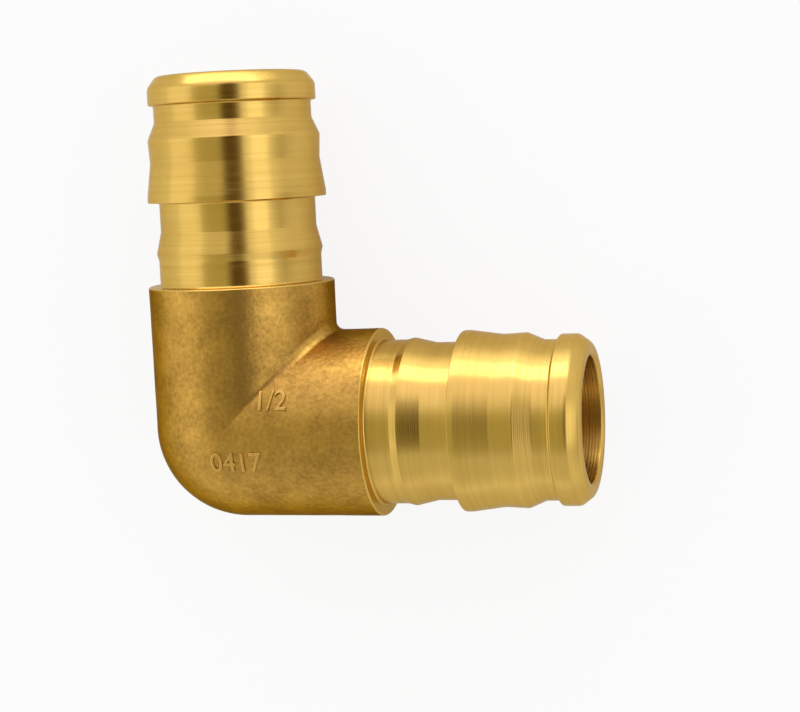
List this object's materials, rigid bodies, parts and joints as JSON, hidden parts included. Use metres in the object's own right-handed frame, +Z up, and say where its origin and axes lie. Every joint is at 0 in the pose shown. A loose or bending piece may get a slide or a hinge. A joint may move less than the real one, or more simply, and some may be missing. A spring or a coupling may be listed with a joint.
{
  "type": "pex elbow",
  "caption": "One-piece forged brass 90 degree elbow with two equal barbed inserts for cold-expanded PEX tube, which carries water round a corner.",
  "frame": {"origin": "where the axes of the two bores cross", "axes": "+X along the run arm towards its mouth, +Y along the branch arm towards its mouth, +Z up across both arms, with the elbow lying on its side"},
  "size_m": [0.0367, 0.0367, 0.0154],
  "materials": {
    "brass": "tumbled forged body with bright turned inserts"
  },
  "bodies": {
    "root": {"elbow": "brass"}
  },
  "joints": []
}
